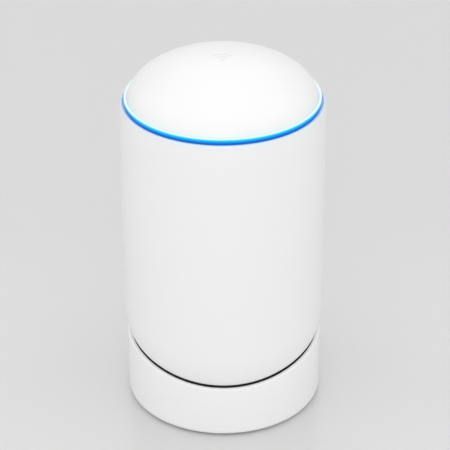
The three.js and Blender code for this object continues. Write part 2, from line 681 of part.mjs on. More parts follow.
// The moulded spine: a floor on four screw legs, two side rails for the boards, and a top deck.
function coreFrame() {
  const { floor, floorTop, floorR, deck, deckTop, deckR, deckHole } = FRAME;
  const { inner, outer, halfDepth } = RAIL;
  const bar = block([inner, -halfDepth, floorTop - PAST], [outer, halfDepth, deck + PAST]);
  const rail = cut(bar, guideGrooves());
  const rails = [rail, spun(rail.mirror([0, 1, 0]), 180)];
  const at = [SCREW.circleR, 0];
  const legs = around(4, post(LEG_R, BASE.top + CLEAR - LIFT, floor + PAST, ROUND.boss, at));
  const pilotR = SCREW.shankR + PILOT.gap;
  const screwHoles = around(4, post(pilotR, BASE.top - PAST - LIFT, PILOT.top - LIFT, ROUND.screw, at));
  const fanHoles = fanCorners().map((corner) =>
    post(pilotR, floor - PAST, floorTop - PILOT.roof, ROUND.screw, corner),
  );
  const discs = [disc(floorR, FAN.bore, floor, floorTop), disc(deckR, deckHole, deck, deckTop)];
  const made = cut(joined([...discs, ...rails, ...legs]), [...screwHoles, ...fanHoles]);
  return piece('core_frame', made, FRAME_PLASTIC);
}

function fanCorners() {
  const at = FAN.screwAt;
  return [[at, at], [-at, at], [-at, -at], [at, -at]];
}

function fanFrame() {
  const { size, corner, bottom, top, bore, shaftR } = FAN;
  const body = slabZ(roundedBox([0, 0], size, size, corner), bottom, top, CORNER.part);
  const opened = body.subtract(post(bore, bottom - PAST, top + PAST, ROUND.wide));
  const { halfWidth, thick, angle } = STRUT;
  const strut = block([0, -halfWidth, bottom], [bore + PAST / 2, halfWidth, bottom + thick]);
  const mount = post(FAN_MOUNT.r, bottom, bottom + FAN_MOUNT.thick);
  const bearing = post(shaftR + FAN_MOUNT.bearingGap, bottom - PAST, bottom + 2 * thick, ROUND.rod);
  const holes = fanCorners().map((at) =>
    post(SCREW.shankR + SHANK_GAP, bottom - PAST, top + PAST, ROUND.screw, at),
  );
  const made = cut(joined([opened, ...around(4, strut, angle), mount]), [bearing, ...holes]);
  return piece('fan_frame', made, BLACK_PLASTIC);
}

function fanRotor() {
  const { bottom, top, hubR, shaftR, bore } = FAN;
  const { lift, topGap, round, shaftGap } = ROTOR;
  const [low, high] = [bottom + lift, top - topGap];
  const hub = turned([[0, low], [hubR, low], [hubR, high - round], [hubR - round, high], [0, high]]);
  const shaft = post(shaftR, bottom + shaftGap, low + PAST, ROUND.rod);
  const { count, reach, thick } = BLADE;
  const root = hubR - PAST;
  const flat = new THREE.BoxGeometry(reach - root, thick, high - low);
  const pitched = flat.rotateX(THREE.MathUtils.degToRad(BLADE.pitch));
  const blade = solid(pitched.translate((reach + root) / 2, 0, (low + high) / 2));
  const slice = block([-bore, -bore, low], [bore, bore, high]);
  return piece('fan_rotor', joined([hub, shaft, ...around(count, blade.intersect(slice))]), BLACK_PLASTIC);
}

// ---------------------------------------------------------------- antennas

function antennaDeck() {
  const { bottom, top, r, hole } = DECK;
  const { inner, outer, halfWidth } = NOTCH;
  const notch = block([inner, -halfWidth, bottom - PAST], [outer, halfWidth, top + PAST]);
  return piece('antenna_deck', cut(disc(r, hole, bottom, top), around(4, notch, 45)), BOARD);
}

// A folded inverted-F element, standing on the deck and facing outwards at the given angle.
function antenna(name, degrees) {
  const { inner, outer, halfWidth, skin, height } = ANTENNA;
  const foot = block([inner, -halfWidth, 0], [outer, halfWidth, skin]);
  const wall = block([outer - skin, -halfWidth, 0], [outer, halfWidth, height]);
  const roof = block([inner, -halfWidth, height - skin], [outer, halfWidth, height]);
  const { inner: slotX, from, to, bottom, top } = ANTENNA_SLOT;
  const slot = block([slotX, from, bottom], [outer + PAST, to, top]);
  const mesh = piece(name, cut(joined([foot, wall, roof]), [slot]), TINNED);
  mesh.position.z = DECK.top + CLEAR;
  mesh.rotation.z = THREE.MathUtils.degToRad(degrees);
  return mesh;
}

// The thin coaxial lead from an antenna's foot, over the main board's top edge, to a radio shield,
// through points chosen along its way. The front antennas' leads take the outer lanes.
function coax(name, degrees) {
  const a = THREE.MathUtils.degToRad(degrees);
  const side = Math.sign(Math.cos(a));
  const front = Math.sin(a) < 0;
  const lane = side * (front ? 29 : 22);
  const at = (r, z) => [r * Math.cos(a), r * Math.sin(a), z];
  const lead = cable([
    at(30, DECK.top + 1),
    at(24, DECK.top + 1),
    at(17, DECK.top - 0.5),
    at(12.5, 147.5),
    [side * (front ? 14 : 10), front ? 2 : 10, 143.8],
    [lane * 0.85, 17, 143.6],
    [lane, 26.5, 143],
    [lane, 28.3, 139],
    [lane, 28.3, 134.4],
  ], COAX);
  return piece(name, lead, BLACK_PLASTIC);
}

// ---------------------------------------------------------------- assembly

const node = new THREE.Group();
node.add(outerShell(), topDome(), lightRing(), ledRingBoard());
node.add(portBezel(), portLightPipe(), resetButton(), resetSwitch());
node.add(powerInlet(), inletPin('inlet_pin_left', -1), inletPin('inlet_pin_right', 1));
node.add(powerLead('power_lead_live', -1), powerLead('power_lead_neutral', 1));

for (const [port, z] of Object.entries(JACK_CENTRES)) {
  node.add(jackShield(`jack_shield_${port}`, z));
  node.add(jackInsert(`jack_insert_${port}`, z));
  node.add(jackContacts(`jack_contacts_${port}`, z));
}

node.add(coreFrame(), fanFrame(), fanRotor(), mainBoard(), processor(), heatsink());
node.add(radioShield('radio_shield_left', -1), radioShield('radio_shield_right', 1));
node.add(powerBoard(), transformer(), bulkCapacitor(), antennaDeck());

[45, 135, 225, 315].forEach((degrees, i) => {
  node.add(antenna(`antenna_${i + 1}`, degrees), coax(`antenna_lead_${i + 1}`, degrees));
});

fanCorners().forEach((at, i) => {
  node.add(screw(`fan_screw_${i + 1}`, at, FAN.bottom - SCREW.headH - CLEAR, SCREW.fan));
});

for (const raised of node.children) raised.position.z += LIFT;

node.add(standHousing(), seamRing(), basePlate(), footRing());

[[1, 0], [0, 1], [-1, 0], [0, -1]].forEach(([x, y], i) => {
  const at = [x * SCREW.circleR, y * SCREW.circleR];
  const headZ = BASE.bottom + BOSS.pocket - CLEAR - SCREW.headH;
  node.add(screw(`base_screw_${i + 1}`, at, headZ, SCREW.base));
});

export default node;
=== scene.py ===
import math

import bmesh
import bpy
from mathutils import Matrix, Vector


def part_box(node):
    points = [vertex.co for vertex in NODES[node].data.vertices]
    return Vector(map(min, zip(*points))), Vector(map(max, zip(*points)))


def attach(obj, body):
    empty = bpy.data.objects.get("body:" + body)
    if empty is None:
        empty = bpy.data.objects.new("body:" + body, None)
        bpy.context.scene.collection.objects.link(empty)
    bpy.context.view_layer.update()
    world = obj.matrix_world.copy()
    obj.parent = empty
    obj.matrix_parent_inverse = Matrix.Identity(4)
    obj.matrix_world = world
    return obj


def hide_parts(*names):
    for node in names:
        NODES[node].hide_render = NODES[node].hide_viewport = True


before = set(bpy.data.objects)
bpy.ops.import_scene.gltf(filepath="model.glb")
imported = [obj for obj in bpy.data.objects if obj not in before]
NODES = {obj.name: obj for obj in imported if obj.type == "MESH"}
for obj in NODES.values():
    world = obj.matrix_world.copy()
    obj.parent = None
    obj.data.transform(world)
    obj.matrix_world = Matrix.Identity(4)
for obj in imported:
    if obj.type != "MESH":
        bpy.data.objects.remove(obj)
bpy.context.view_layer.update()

# A white domed wifi node. Shapes are written in millimetres and built in metres.
MM = 0.001

# HEIGHT, the seam, the stand, its ring, the base plate, the foot and the base screws are measured from the
# table, and so are the floor and the lamps. The other pieces are measured from a level LIFT above it, and
# finish_piece raises them by that much.
LIFT = 20.5
BODY_R, WALL = 55.0, 2.4
SEAM_FRONT, SEAM_RISE, SEAM_GAP = 31.7, 8.0, 1.05  # the groove's middle in front, its rise at the sides
EDGE_Z = SEAM_FRONT + SEAM_GAP / 2 - LIFT
EDGE_R, EDGE_H, EDGE_IN = 4.0, 18.0, 48.8  # the housing's lower edge, drawn in elliptically
ABOVE_EDGE = 44.0  # above the drawn-in edge all round
STAND_R, STAND_BOTTOM, STAND_FLOOR, STAND_ROUND, STAND_LIP = 54.1, 1.0, 3.4, 3.0, 2.0
STAND_TOP = SEAM_FRONT - SEAM_GAP / 2
STAND_BEVEL, STAND_LIP_H = 0.8, 1.6
STAND_LEVEL, STAND_LEVEL_IN = 20.0, 18.0  # where the stand's wall starts to follow the seam, out and in
SPACER_IN, SPACER_TAIL, SPACER_SUNK = 49.0, 5.0, 0.2
LIP_R = 36.2
SHOULDER_Z, SHOULDER_R = 148.0, 54.5
RIM_Z, RIM_ROUND, RIM_BORE, RIM_BEVEL = 159.65, 0.9, 52.85, 0.3
LEDGE_R, LEDGE_BOTTOM, LEDGE_TOP = 50.4, 149.0, 151.0
BORE_TOP = 146.0  # where the rows down the bore start, a little below the ledge's slope
HEIGHT = 204.7
DOME_R, DOME_H, DOME_WALL = 51.1, 24.1, 2.2
SKIRT_R, SKIRT_TOP, SKIRT_BOTTOM, SKIRT_STEP = 50.7, 162.6, 155.0, 0.6
SKIRT_ROUND_IN, SKIRT_ROUND_OUT = 0.2, 0.3
LUG_IN, LUG_OUT, LUG_NOSE, LUG_HALF = 47.9, 49.8, 51.2, 4
LUG_DROP, LUG_NOSE_H, LUG_ROOT, LUG_OVERLAP = 2.2, 1.1, 2, 49  # the nose starts inside the leg
RING_IN, RING_OUT, RING_BOTTOM, RING_TOP = 51.0, 52.5, 153.5, 162.65
RING_SLOPE, RING_ROUND_OUT, RING_ROUND_IN, RING_ROWS_END, RING_ROW = 0.1, 0.75, 0.1, 0.8, 0.6
FOOT_IN, FOOT_OUT, FOOT_TOP, FOOT_ROUND = 32.6, 36.1, 2.15, 0.4
BAY_HALF, BAY_BOTTOM, BAY_TOP, BAY_CORNER = 17.5, 33.5, 145.0, 8.0
BAY_FLOOR, BAY_FLOOR_THICK, BAY_WALL, BAY_GAP = 46.0, 2.0, 1.6, 0.3
BEHIND, BEYOND = 38, 60  # depths inside and outside the housing all over its window
WINDOW_ROUND = 0.35
HOOK_Y, HOOK_HEIGHTS, HOOK_HALF, HOOK_REACH = 48.6, (60, 90, 120), 3, 1
JACKS = {"wan": 64, "lan_1": 127, "lan_2": 112, "lan_3": 97, "lan_4": 82}
JACK_W, JACK_H = 16.2, 13.6
LENS_X, LENS_W, LENS_H = 11.8, 1.8, 3.2
PORT_GAP, LENS_GAP = 0.4, 0.2  # added to the sockets' and the inlet's size, and to the lamps'
VENT_HEIGHTS, VENT_W, VENT_H = (136.4, 138.6, 140.8), 18, 1.2
INLET_Z, INLET_W, INLET_H, INLET_BACK, INLET_FRONT = 44.5, 22.0, 13.0, 27.8, 45.6
FLANGE_W, FLANGE_H, FLANGE_THICK = 3.2, 0.8, 1.2  # how far the inlet's flange is larger, and its thickness
LOBE_R, LOBE_X, BRIDGE_HALF, CAVITY_BACK, CAVITY_FRONT, CAVITY_HALF = 4.2, 3.9, 4, 32.5, 47, 3.3
PIN_X, PIN_R, PIN_BACK, PIN_LENGTH, PIN_GAP = 4.3, 1.2, 27.2, 14, 0.3
RESET_Z, RESET_R, RESET_HOLE_R, RESET_BACK, RESET_TIP = 54.2, 1.0, 1.3, 30, 45.2
COLLAR_R, COLLAR_THICK = 2.2, 1.2
BASE_R, BASE_BOTTOM, BASE_WEB, BASE_FLANGE_R, BASE_FLANGE, BASE_TOP = 35.9, 2.2, 4.4, 38.3, 3.5, 7.8
BASE_RIM, BASE_ROUND, BOSS_R, POCKET_GAP, POCKET_H, HOLE_GAP = 2.6, 0.3, 4.4, 0.4, 1.8, 0.3
SLOT_COUNT, SLOT_IN, SLOT_OUT, SLOT_HALF, ABOVE_BASE = 16, 9, 22.5, 0.9, 10
SCREW_CIRCLE, SCREW_HEAD_R, SCREW_HEAD_H, SHANK_R, SHANK_END = 29.0, 2.6, 1.5, 1.2, 14.0
THREAD_COUNT, THREAD_PITCH, THREAD_START, THREAD_DEPTH = 16, 0.7, 0.6, 0.15
RECESS_HALF, RECESS_WIDTH, RECESS_DEPTH = 1.5, 0.35, 0.8
GAP = 0.1  # gap between pieces that rest on each other
FINE = 192  # facets of a full turn on the large round pieces
CREASE = 32  # degrees above which an edge is shaded as sharp

# The camera, in metres, radians and millimetres of a 36 mm wide sensor.
DISTANCE, ELEVATION, ROLL, AIM_Z = 1.0594, 0.51941, -0.00482, 0.08273
SENSOR, FOCAL, SHIFT_X, SHIFT_Y = 36.0, 154.3472, 0.0036444, 0.0011111


# ---------------------------------------------------------------- mesh tools

def new_object(name, bm):
    bmesh.ops.recalc_face_normals(bm, faces=bm.faces)
    mesh = bpy.data.meshes.new(name)
    bm.to_mesh(mesh)
    bm.free()
    obj = bpy.data.objects.new(name, mesh)
    bpy.context.scene.collection.objects.link(obj)
    return obj


def smooth(obj, degrees=CREASE):
    obj.data.shade_smooth()
    obj.data.set_sharp_from_angle(angle=math.radians(degrees))
    return obj


def fillet(points, radius, count=4):
    """The closed outline with its corners rounded, each by radius or by what its sides allow."""
    out = []
    total = len(points)
    for i, point in enumerate(points):
        before, here, after = (Vector(points[(i + k) % total]) for k in (-1, 0, 1))
        a, b = before - here, after - here
        r = radius.get(i, 0) if isinstance(radius, dict) else radius
        turn = a.angle(b, math.pi)
        if r <= 0 or turn > math.radians(168):
            out.append(tuple(point))
            continue
        reach = min(r / math.tan(turn / 2), a.length * 0.45, b.length * 0.45)
        start, end = here + a.normalized() * reach, here + b.normalized() * reach
        for k in range(count + 1):
            t = k / count
            out.append(tuple(start * (1 - t) ** 2 + here * 2 * t * (1 - t) + end * t ** 2))
    return out


def lathe(name, profile, segments=FINE):
    """A closed [radius, height] outline turned round Z. Points on the axis become one vertex.

    A third value is the share of the seam's rise that a point takes: all of it at the sides, none at
    the front and the back."""
    bm = bmesh.new()
    rows = []
    for r, z, *share in profile:
        rise = SEAM_RISE * MM * sum(share)
        if r < 1e-6:
            rows.append([bm.verts.new((0, 0, z * MM))])
            continue
        turn = [2 * math.pi * k / segments for k in range(segments)]
        rows.append([
            bm.verts.new((r * MM * math.cos(a), r * MM * math.sin(a), z * MM + rise * math.cos(a) ** 2))
            for a in turn
        ])
    for low, high in zip(rows, rows[1:] + rows[:1]):
        if len(low) == 1 and len(high) == 1:
            continue
        for k in range(segments):
            n = (k + 1) % segments
            if len(low) == 1:
                bm.faces.new((low[0], high[n], high[k]))
            elif len(high) == 1:
                bm.faces.new((low[k], low[n], high[0]))
            else:
                bm.faces.new((low[k], low[n], high[n], high[k]))
    return new_object(name, bm)


def prism(name, outline, y0, y1):
    """An XZ outline pushed along Y."""
    bm = bmesh.new()
    near = [bm.verts.new((x * MM, y0 * MM, z * MM)) for x, z in outline]
    far = [bm.verts.new((x * MM, y1 * MM, z * MM)) for x, z in outline]
    bm.faces.new(near)
    bm.faces.new(far)
    for k in range(len(outline)):
        n = (k + 1) % len(outline)
        bm.faces.new((near[k], near[n], far[n], far[k]))
    return new_object(name, bm)


def rounded(cx, cz, width, height, r, count=8):
    x, z = width / 2, height / 2
    corners = [(cx - x, cz - z), (cx + x, cz - z), (cx + x, cz + z), (cx - x, cz + z)]
    if r <= 0:
        return corners
    x0, x1, z0, z1 = cx - x + r, cx + x - r, cz - z + r, cz + z - r
    centres = [(x0, z0), (x1, z0), (x1, z1), (x0, z1)]
    out = []
    for i, (ax, az) in enumerate(centres):
        for k in range(count + 1):
            a = math.pi + math.pi / 2 * (i + k / count)
            out.append((ax + r * math.cos(a), az + r * math.sin(a)))
    return out


def bar(name, low, high):
    (x0, y0, z0), (x1, y1, z1) = low, high
    return prism(name, [(x0, z0), (x1, z0), (x1, z1), (x0, z1)], y0, y1)


def rod_z(name, r, z0, z1, at=(0, 0), segments=48):
    rod = lathe(name, [(0, z0), (r, z0), (r, z1), (0, z1)], segments)
    rod.data.transform(Matrix.Translation((at[0] * MM, at[1] * MM, 0)))
    return rod


def rod_y(name, r, y0, y1, at, segments=48):
    turn = [2 * math.pi * k / segments for k in range(segments)]
    return prism(name, [(at[0] + r * math.cos(a), at[1] + r * math.sin(a)) for a in turn], y0, y1)


def spin(obj, degrees):
    obj.data.transform(Matrix.Rotation(math.radians(degrees), 4, "Z"))
    return obj


def bake(obj):
    graph = bpy.context.evaluated_depsgraph_get()
    mesh = bpy.data.meshes.new_from_object(obj.evaluated_get(graph))
    obj.modifiers.clear()
    obj.data = mesh
    return obj


def combine(obj, tools, operation):
    for tool in tools:
        step = obj.modifiers.new("step", "BOOLEAN")
        step.operation, step.object, step.solver = operation, tool, "EXACT"
        bake(obj)
        bpy.data.objects.remove(tool)
    return obj


def cut(obj, *tools):
    return combine(obj, tools, "DIFFERENCE")


def join(obj, *tools):
    return combine(obj, tools, "UNION")


def soften(obj, width, segments=2, degrees=40):
    """A small round on every edge sharper than the given angle."""
    edge = obj.modifiers.new("edge_round", "BEVEL")
    edge.width, edge.segments = width * MM, segments
    edge.limit_method, edge.angle_limit = "ANGLE", math.radians(degrees)
    edge.harden_normals = False
    return obj


# ---------------------------------------------------------------- materials

class Graph:
    """A material's nodes, with short calls to add and link them."""

    def __init__(self, name):
        self.material = bpy.data.materials.new(name)
        self.material.use_nodes = True
        self.nodes, self.links = self.material.node_tree.nodes, self.material.node_tree.links
        self.shader = self.nodes["Principled BSDF"]
        self.place = self.add("ShaderNodeTexCoord").outputs["Object"]

    def add(self, kind, **settings):
        node = self.nodes.new(kind)
        for key, value in settings.items():
            setattr(node, key, value)
        return node

    def link(self, a, b):
        self.links.new(a, b)

    def noise(self, millimetres, detail=3.0, vector=None):
        node = self.add("ShaderNodeTexNoise")
        node.inputs["Scale"].default_value = 1 / (millimetres * MM)
        node.inputs["Detail"].default_value = detail
        self.link(vector or self.place, node.inputs["Vector"])
        return node.outputs["Fac"]

    def spread(self, value, low, high, start=0.3, stop=0.7):
        node = self.add("ShaderNodeMapRange")
        for key, number in (("From Min", start), ("From Max", stop), ("To Min", low), ("To Max", high)):
            node.inputs[key].default_value = number
        self.link(value, node.inputs["Value"])
        return node.outputs["Result"]

    def blend(self, factor, a, b):
        node = self.add("ShaderNodeMix", data_type="RGBA")
        for socket, value in ((node.inputs[6], a), (node.inputs[7], b)):
            if hasattr(value, "is_linked"):
                self.link(value, socket)
            else:
                socket.default_value = (*value, 1)
        self.link(factor, node.inputs[0])
        return node.outputs[2]

    def height(self):
        node = self.add("ShaderNodeSeparateXYZ")
        self.link(self.place, node.inputs["Vector"])
        return node.outputs["Z"]

    def bump(self, value, millimetres, strength=0.5):
        node = self.add("ShaderNodeBump")
        node.inputs["Distance"].default_value = millimetres * MM
        node.inputs["Strength"].default_value = strength
        self.link(value, node.inputs["Height"])
        self.link(node.outputs["Normal"], self.shader.inputs["Normal"])

    def set(self, **numbers):
        for key, value in numbers.items():
            self.shader.inputs[key.replace("_", " ")].default_value = value


def shaded(color, amount):
    return tuple(min(1.0, c * amount) for c in color)


def surface(
    name, color, rough, metal=0.0, mottle=0.05, patch=20.0, grain=0.3, depth=0.01, swing=0.06, **more,
):
    """A material whose colour varies over patches, and whose roughness and relief vary at its grain."""
    g = Graph(name)
    tone = g.spread(g.noise(patch), 0, 1)
    g.link(g.blend(tone, shaded(color, 1 - mottle), color), g.shader.inputs["Base Color"])
    g.link(g.spread(g.noise(patch * 0.4), rough - swing, rough + swing), g.shader.inputs["Roughness"])
    g.bump(g.noise(grain), depth)
    g.set(Metallic=metal, **more)
    return g


def linear(*rgb):
    """An sRGB colour written in 0 to 255, in linear light."""
    return tuple((v / 255 / 12.92) if v <= 10 else ((v / 255 + 0.055) / 1.055) ** 2.4 for v in rgb)


def banded(g, top, bottom, stops, value=None):
    """A colour by height, or by another length: stops are (millimetres, sRGB colour)."""
    ramp = g.add("ShaderNodeValToRGB")
    elements = ramp.color_ramp.elements
    place = lambda z: (z - bottom) / (top - bottom)
    elements[0].position, elements[0].color = place(stops[0][0]), (*linear(*stops[0][1]), 1)
    elements[1].position, elements[1].color = place(stops[-1][0]), (*linear(*stops[-1][1]), 1)
    for z, color in stops[1:-1]:
        elements.new(place(z)).color = (*linear(*color), 1)
    g.link(g.spread(value or g.height(), 0, 1, bottom * MM, top * MM), ramp.inputs["Fac"])
    return ramp.outputs["Color"]


WHITE = (0.86, 0.86, 0.862)
MARK = (0.76, 0.76, 0.765)
SATIN_LOOK = dict(mottle=0.006, patch=60, grain=0.35, depth=0.004, swing=0.03, IOR=1.46)
# The icon on the cap: its centre lies in front of the apex.
ICON_Y, ICON_RADII, ICON_DOT, ICON_LINE, ICON_EDGE, ICON_ABOVE = 3.6, (3.9, 7.0), 1.15, 0.75, 0.1, 180


def from_ring(g):
    """The distance of a point from the light ring's foot, where it leaves the rim."""
    split = g.add("ShaderNodeSeparateXYZ")
    g.link(g.place, split.inputs["Vector"])
    flat = g.add("ShaderNodeCombineXYZ")
    g.link(split.outputs["X"], flat.inputs["X"])
    g.link(split.outputs["Y"], flat.inputs["Y"])
    radius = g.add("ShaderNodeVectorMath", operation="LENGTH")
    g.link(flat.outputs["Vector"], radius.inputs[0])
    gap = g.add("ShaderNodeCombineXYZ")
    for start, out, socket in ((RING_OUT, radius.outputs["Value"], "X"), (RIM_Z, split.outputs["Z"], "Y")):
        less = g.add("ShaderNodeMath", operation="SUBTRACT")
        g.link(out, less.inputs[0])
        less.inputs[1].default_value = start * MM
        g.link(less.outputs[0], gap.inputs[socket])
    length = g.add("ShaderNodeVectorMath", operation="LENGTH")
    g.link(gap.outputs["Vector"], length.inputs[0])
    return length.outputs["Value"]


def paint_glow_tint(g, top, bottom, stops, value=None):
    """Multiplies the base colour by a colour that changes with height or another length: painted light, the
    ring's glow.
    """
    base = g.shader.inputs["Base Color"].links[0].from_socket
    node = g.add("ShaderNodeMix", data_type="RGBA", blend_type="MULTIPLY")
    node.inputs[0].default_value = 1
    g.link(base, node.inputs[6])
    g.link(banded(g, top, bottom, stops, value), node.inputs[7])
    g.link(node.outputs[2], g.shader.inputs["Base Color"])


def white_shell():
    """The housing's satin white, with the ring's blue glow painted into its colour near the rim."""
    g = surface("satin_white_painted_glow", WHITE, 0.36, **SATIN_LOOK)
    # Painted light: the ring's blue glow, strongest at the ring's foot and fading to plain white 2.4 mm
    # away.
    paint_glow_tint(g, 5.5, 0.3, [
        (0.3, (140, 176, 232)), (0.5, (182, 209, 245)), (0.8, (200, 224, 250)), (1.3, (214, 234, 254)),
        (1.8, (238, 247, 255)), (2.4, (252, 254, 255)), (5.5, (255, 255, 255)),
    ], from_ring(g))
    return g.material


def sector_arc(g, radius, distance, side, width=ICON_LINE):
    """1 on an arc of the icon: a band round its centre, kept to the sector above it."""
    offset = g.add("ShaderNodeMath", operation="SUBTRACT")
    g.link(distance, offset.inputs[0])
    offset.inputs[1].default_value = radius * MM
    size = g.add("ShaderNodeMath", operation="ABSOLUTE")
    g.link(offset.outputs[0], size.inputs[0])
    near = g.spread(size.outputs[0], 1, 0, width * MM * 0.85, width * MM)
    both = g.add("ShaderNodeMath", operation="MULTIPLY")
    g.link(near, both.inputs[0])
    g.link(side, both.inputs[1])
    return both.outputs[0]


def white_dome():
    """The cap's satin white, with the ring's cyan glow painted at its foot, and a small printed radio icon.
    """
    g = surface("satin_white_cap", WHITE, 0.34, **SATIN_LOOK)
    split = g.add("ShaderNodeSeparateXYZ")
    g.link(g.place, split.inputs["Vector"])
    flat = g.add("ShaderNodeCombineXYZ")
    g.link(split.outputs["X"], flat.inputs["X"])
    lower = g.add("ShaderNodeMath", operation="ADD")
    lower.inputs[1].default_value = ICON_Y * MM
    g.link(split.outputs["Y"], lower.inputs[0])
    g.link(lower.outputs[0], flat.inputs["Y"])
    length = g.add("ShaderNodeVectorMath", operation="LENGTH")
    g.link(flat.outputs["Vector"], length.inputs[0])
    distance = length.outputs["Value"]
    across = g.add("ShaderNodeMath", operation="ABSOLUTE")
    g.link(split.outputs["X"], across.inputs[0])
    reach = g.add("ShaderNodeMath", operation="SUBTRACT")
    g.link(lower.outputs[0], reach.inputs[0])
    g.link(across.outputs[0], reach.inputs[1])
    side = g.spread(reach.outputs[0], 0, 1, 0, ICON_EDGE * MM)
    ink = g.spread(distance, 1, 0, ICON_DOT * MM, (ICON_DOT + ICON_EDGE) * MM)
    for radius in ICON_RADII:
        more = g.add("ShaderNodeMath", operation="MAXIMUM")
        g.link(ink, more.inputs[0])
        g.link(sector_arc(g, radius, distance, side), more.inputs[1])
        ink = more.outputs[0]
    top = g.spread(split.outputs["Z"], 0, 1, ICON_ABOVE * MM, (ICON_ABOVE + ICON_EDGE) * MM)
    shown = g.add("ShaderNodeMath", operation="MULTIPLY")
    g.link(ink, shown.inputs[0])
    g.link(top, shown.inputs[1])
    base = g.shader.inputs["Base Color"].links[0].from_socket
    g.link(g.blend(shown.outputs[0], base, MARK), g.shader.inputs["Base Color"])
    # Painted light: the ring's cyan glow on the cap just above the ring, fading to plain white by 166 mm.
    paint_glow_tint(g, 166, 161, [
        (161, (228, 252, 253)), (162.6, (246, 254, 254)), (163.8, (250, 255, 255)), (166, (255, 255, 255)),
    ])
    return g.material


def light_guide():
    """Clear ring lit from below: cyan-white at its top edge, deep blue at its foot."""
    g = Graph("light_guide")
    g.set(Base_Color=(0.0, 0.01, 0.02, 1), IOR=1.49, Specular_IOR_Level=0.0)
    g.set(Coat_Weight=1.0, Coat_IOR=1.25, Coat_Roughness=0.1)
    g.link(g.spread(g.noise(6), 0.25, 0.35), g.shader.inputs["Roughness"])
    stops = [
        (153.5, (190, 204, 228)), (158.9, (190, 204, 228)), (159.3, (60, 108, 196)), (159.9, (14, 96, 200)),
        (160.5, (8, 116, 220)), (161.1, (18, 152, 234)), (161.7, (40, 205, 242)), (162.15, (80, 228, 241)),
        (162.42, (190, 252, 253)), (162.53, (236, 253, 253)), (162.65, (247, 251, 251)),
    ]
    g.link(banded(g, 162.65, 153.5, stops), g.shader.inputs["Emission Color"])
    g.set(Emission_Strength=1.0)
    return g.material


def plain(*look, **more):
    return surface(*look, **more).material


SATIN_PAINTED_GLOW, CAP_PAINTED_GLOW, GUIDE = white_shell(), white_dome(), light_guide()
BEZEL = plain("bezel_white", WHITE, 0.5, mottle=0.015, grain=0.25, depth=0.02)
BASE_GREY = plain("base_grey", (0.72, 0.725, 0.73), 0.58, mottle=0.03, grain=0.3, depth=0.03)
RUBBER = plain("foot_rubber", (0.035, 0.035, 0.038), 0.82, mottle=0.3, patch=5, grain=0.25, depth=0.03)
BLACK = plain("black_plastic", (0.018, 0.018, 0.02), 0.5, mottle=0.25, patch=8, grain=0.2, depth=0.02)
CLEAR = plain("lamp_lens", (0.8, 0.84, 0.86), 0.25, mottle=0.05, grain=0.5, depth=0.004)
LEAD_BLACK = plain("lead_black", (0.02, 0.02, 0.02), 0.45, mottle=0.2, patch=4, grain=0.3, depth=0.01)
LEAD_WHITE = plain("lead_white", (0.7, 0.7, 0.69), 0.45, mottle=0.06, patch=4, grain=0.3, depth=0.01)
FRAME = plain("frame_grey", (0.17, 0.175, 0.185), 0.6, mottle=0.12, grain=0.3, depth=0.03)
TAPE = plain("tape_yellow", (0.62, 0.4, 0.07), 0.35, mottle=0.2, patch=7, grain=1.2, depth=0.02)
TINNED = plain("tinned_steel", (0.68, 0.69, 0.7), 0.28, 1, mottle=0.12, patch=4, grain=0.4, depth=0.01)
GOLD = plain("contact_gold", (0.83, 0.58, 0.2), 0.22, 1, mottle=0.15, patch=2, grain=0.2, depth=0.004)
ZINC = plain("zinc_steel", (0.5, 0.51, 0.53), 0.34, 1, mottle=0.2, patch=1.5, grain=0.2, depth=0.01)


def circuit_board():
    """Green solder mask over the faint relief of its tracks."""
    g = surface("circuit_board", (0.012, 0.1, 0.045), 0.4, mottle=0.35, patch=12, grain=0.4, depth=0.01)
    tracks = g.add("ShaderNodeTexVoronoi", distance="MANHATTAN", feature="DISTANCE_TO_EDGE")
    tracks.inputs["Scale"].default_value = 1 / (2.6 * MM)
    g.link(g.place, tracks.inputs["Vector"])
    copper = g.spread(tracks.outputs["Distance"], 1, 0, 0.05, 0.08)
    base = g.shader.inputs["Base Color"].links[0].from_socket
    g.link(g.blend(copper, base, (0.05, 0.22, 0.09)), g.shader.inputs["Base Color"])
    return g.material


def extruded_aluminium():
    """Bare extrusion with die lines along Z."""
    g = surface("extruded_aluminium", (0.72, 0.73, 0.75), 0.36, 1, mottle=0.08, grain=0.5, depth=0.01)
    stretch = g.add("ShaderNodeMapping")
    stretch.inputs["Scale"].default_value = (1, 1, 0.02)
    g.link(g.place, stretch.inputs["Vector"])
    g.bump(g.noise(0.5, vector=stretch.outputs["Vector"]), 0.02)
    return g.material


BOARD, ALUMINIUM = circuit_board(), extruded_aluminium()


# ---------------------------------------------------------------- the housing

def along_seam(points):
    return [(r, z, 1) for r, z in points]


def edge_points(count):
    """The housing's lower edge, from the seam up to the straight wall."""
    turns = [math.pi / 2 * (1 - k / count) for k in range(count + 1)]
    return [(BODY_R - EDGE_R + EDGE_R * math.cos(a), EDGE_Z + EDGE_H - EDGE_H * math.sin(a)) for a in turns]


def shoulder_points():
    top = RIM_Z - RIM_ROUND
    lean = (BODY_R - SHOULDER_R) / (top - SHOULDER_Z) ** 2
    rows = [SHOULDER_Z + k / 8 * (top - SHOULDER_Z) for k in range(9)]
    leaning = [(BODY_R - lean * (z - SHOULDER_Z) ** 2, z) for z in rows]
    turns = [math.radians(15 * k) for k in range(1, 7)]
    rim = [(SHOULDER_R + RIM_ROUND * (math.cos(a) - 1), top + RIM_ROUND * math.sin(a)) for a in turns]
    return leaning + rim


def wall_rows(r, z0, z1, step=4.0):
    count = max(1, int(abs(z1 - z0) / step))
    return [(r, z0 + (z1 - z0) * k / count) for k in range(1, count)]


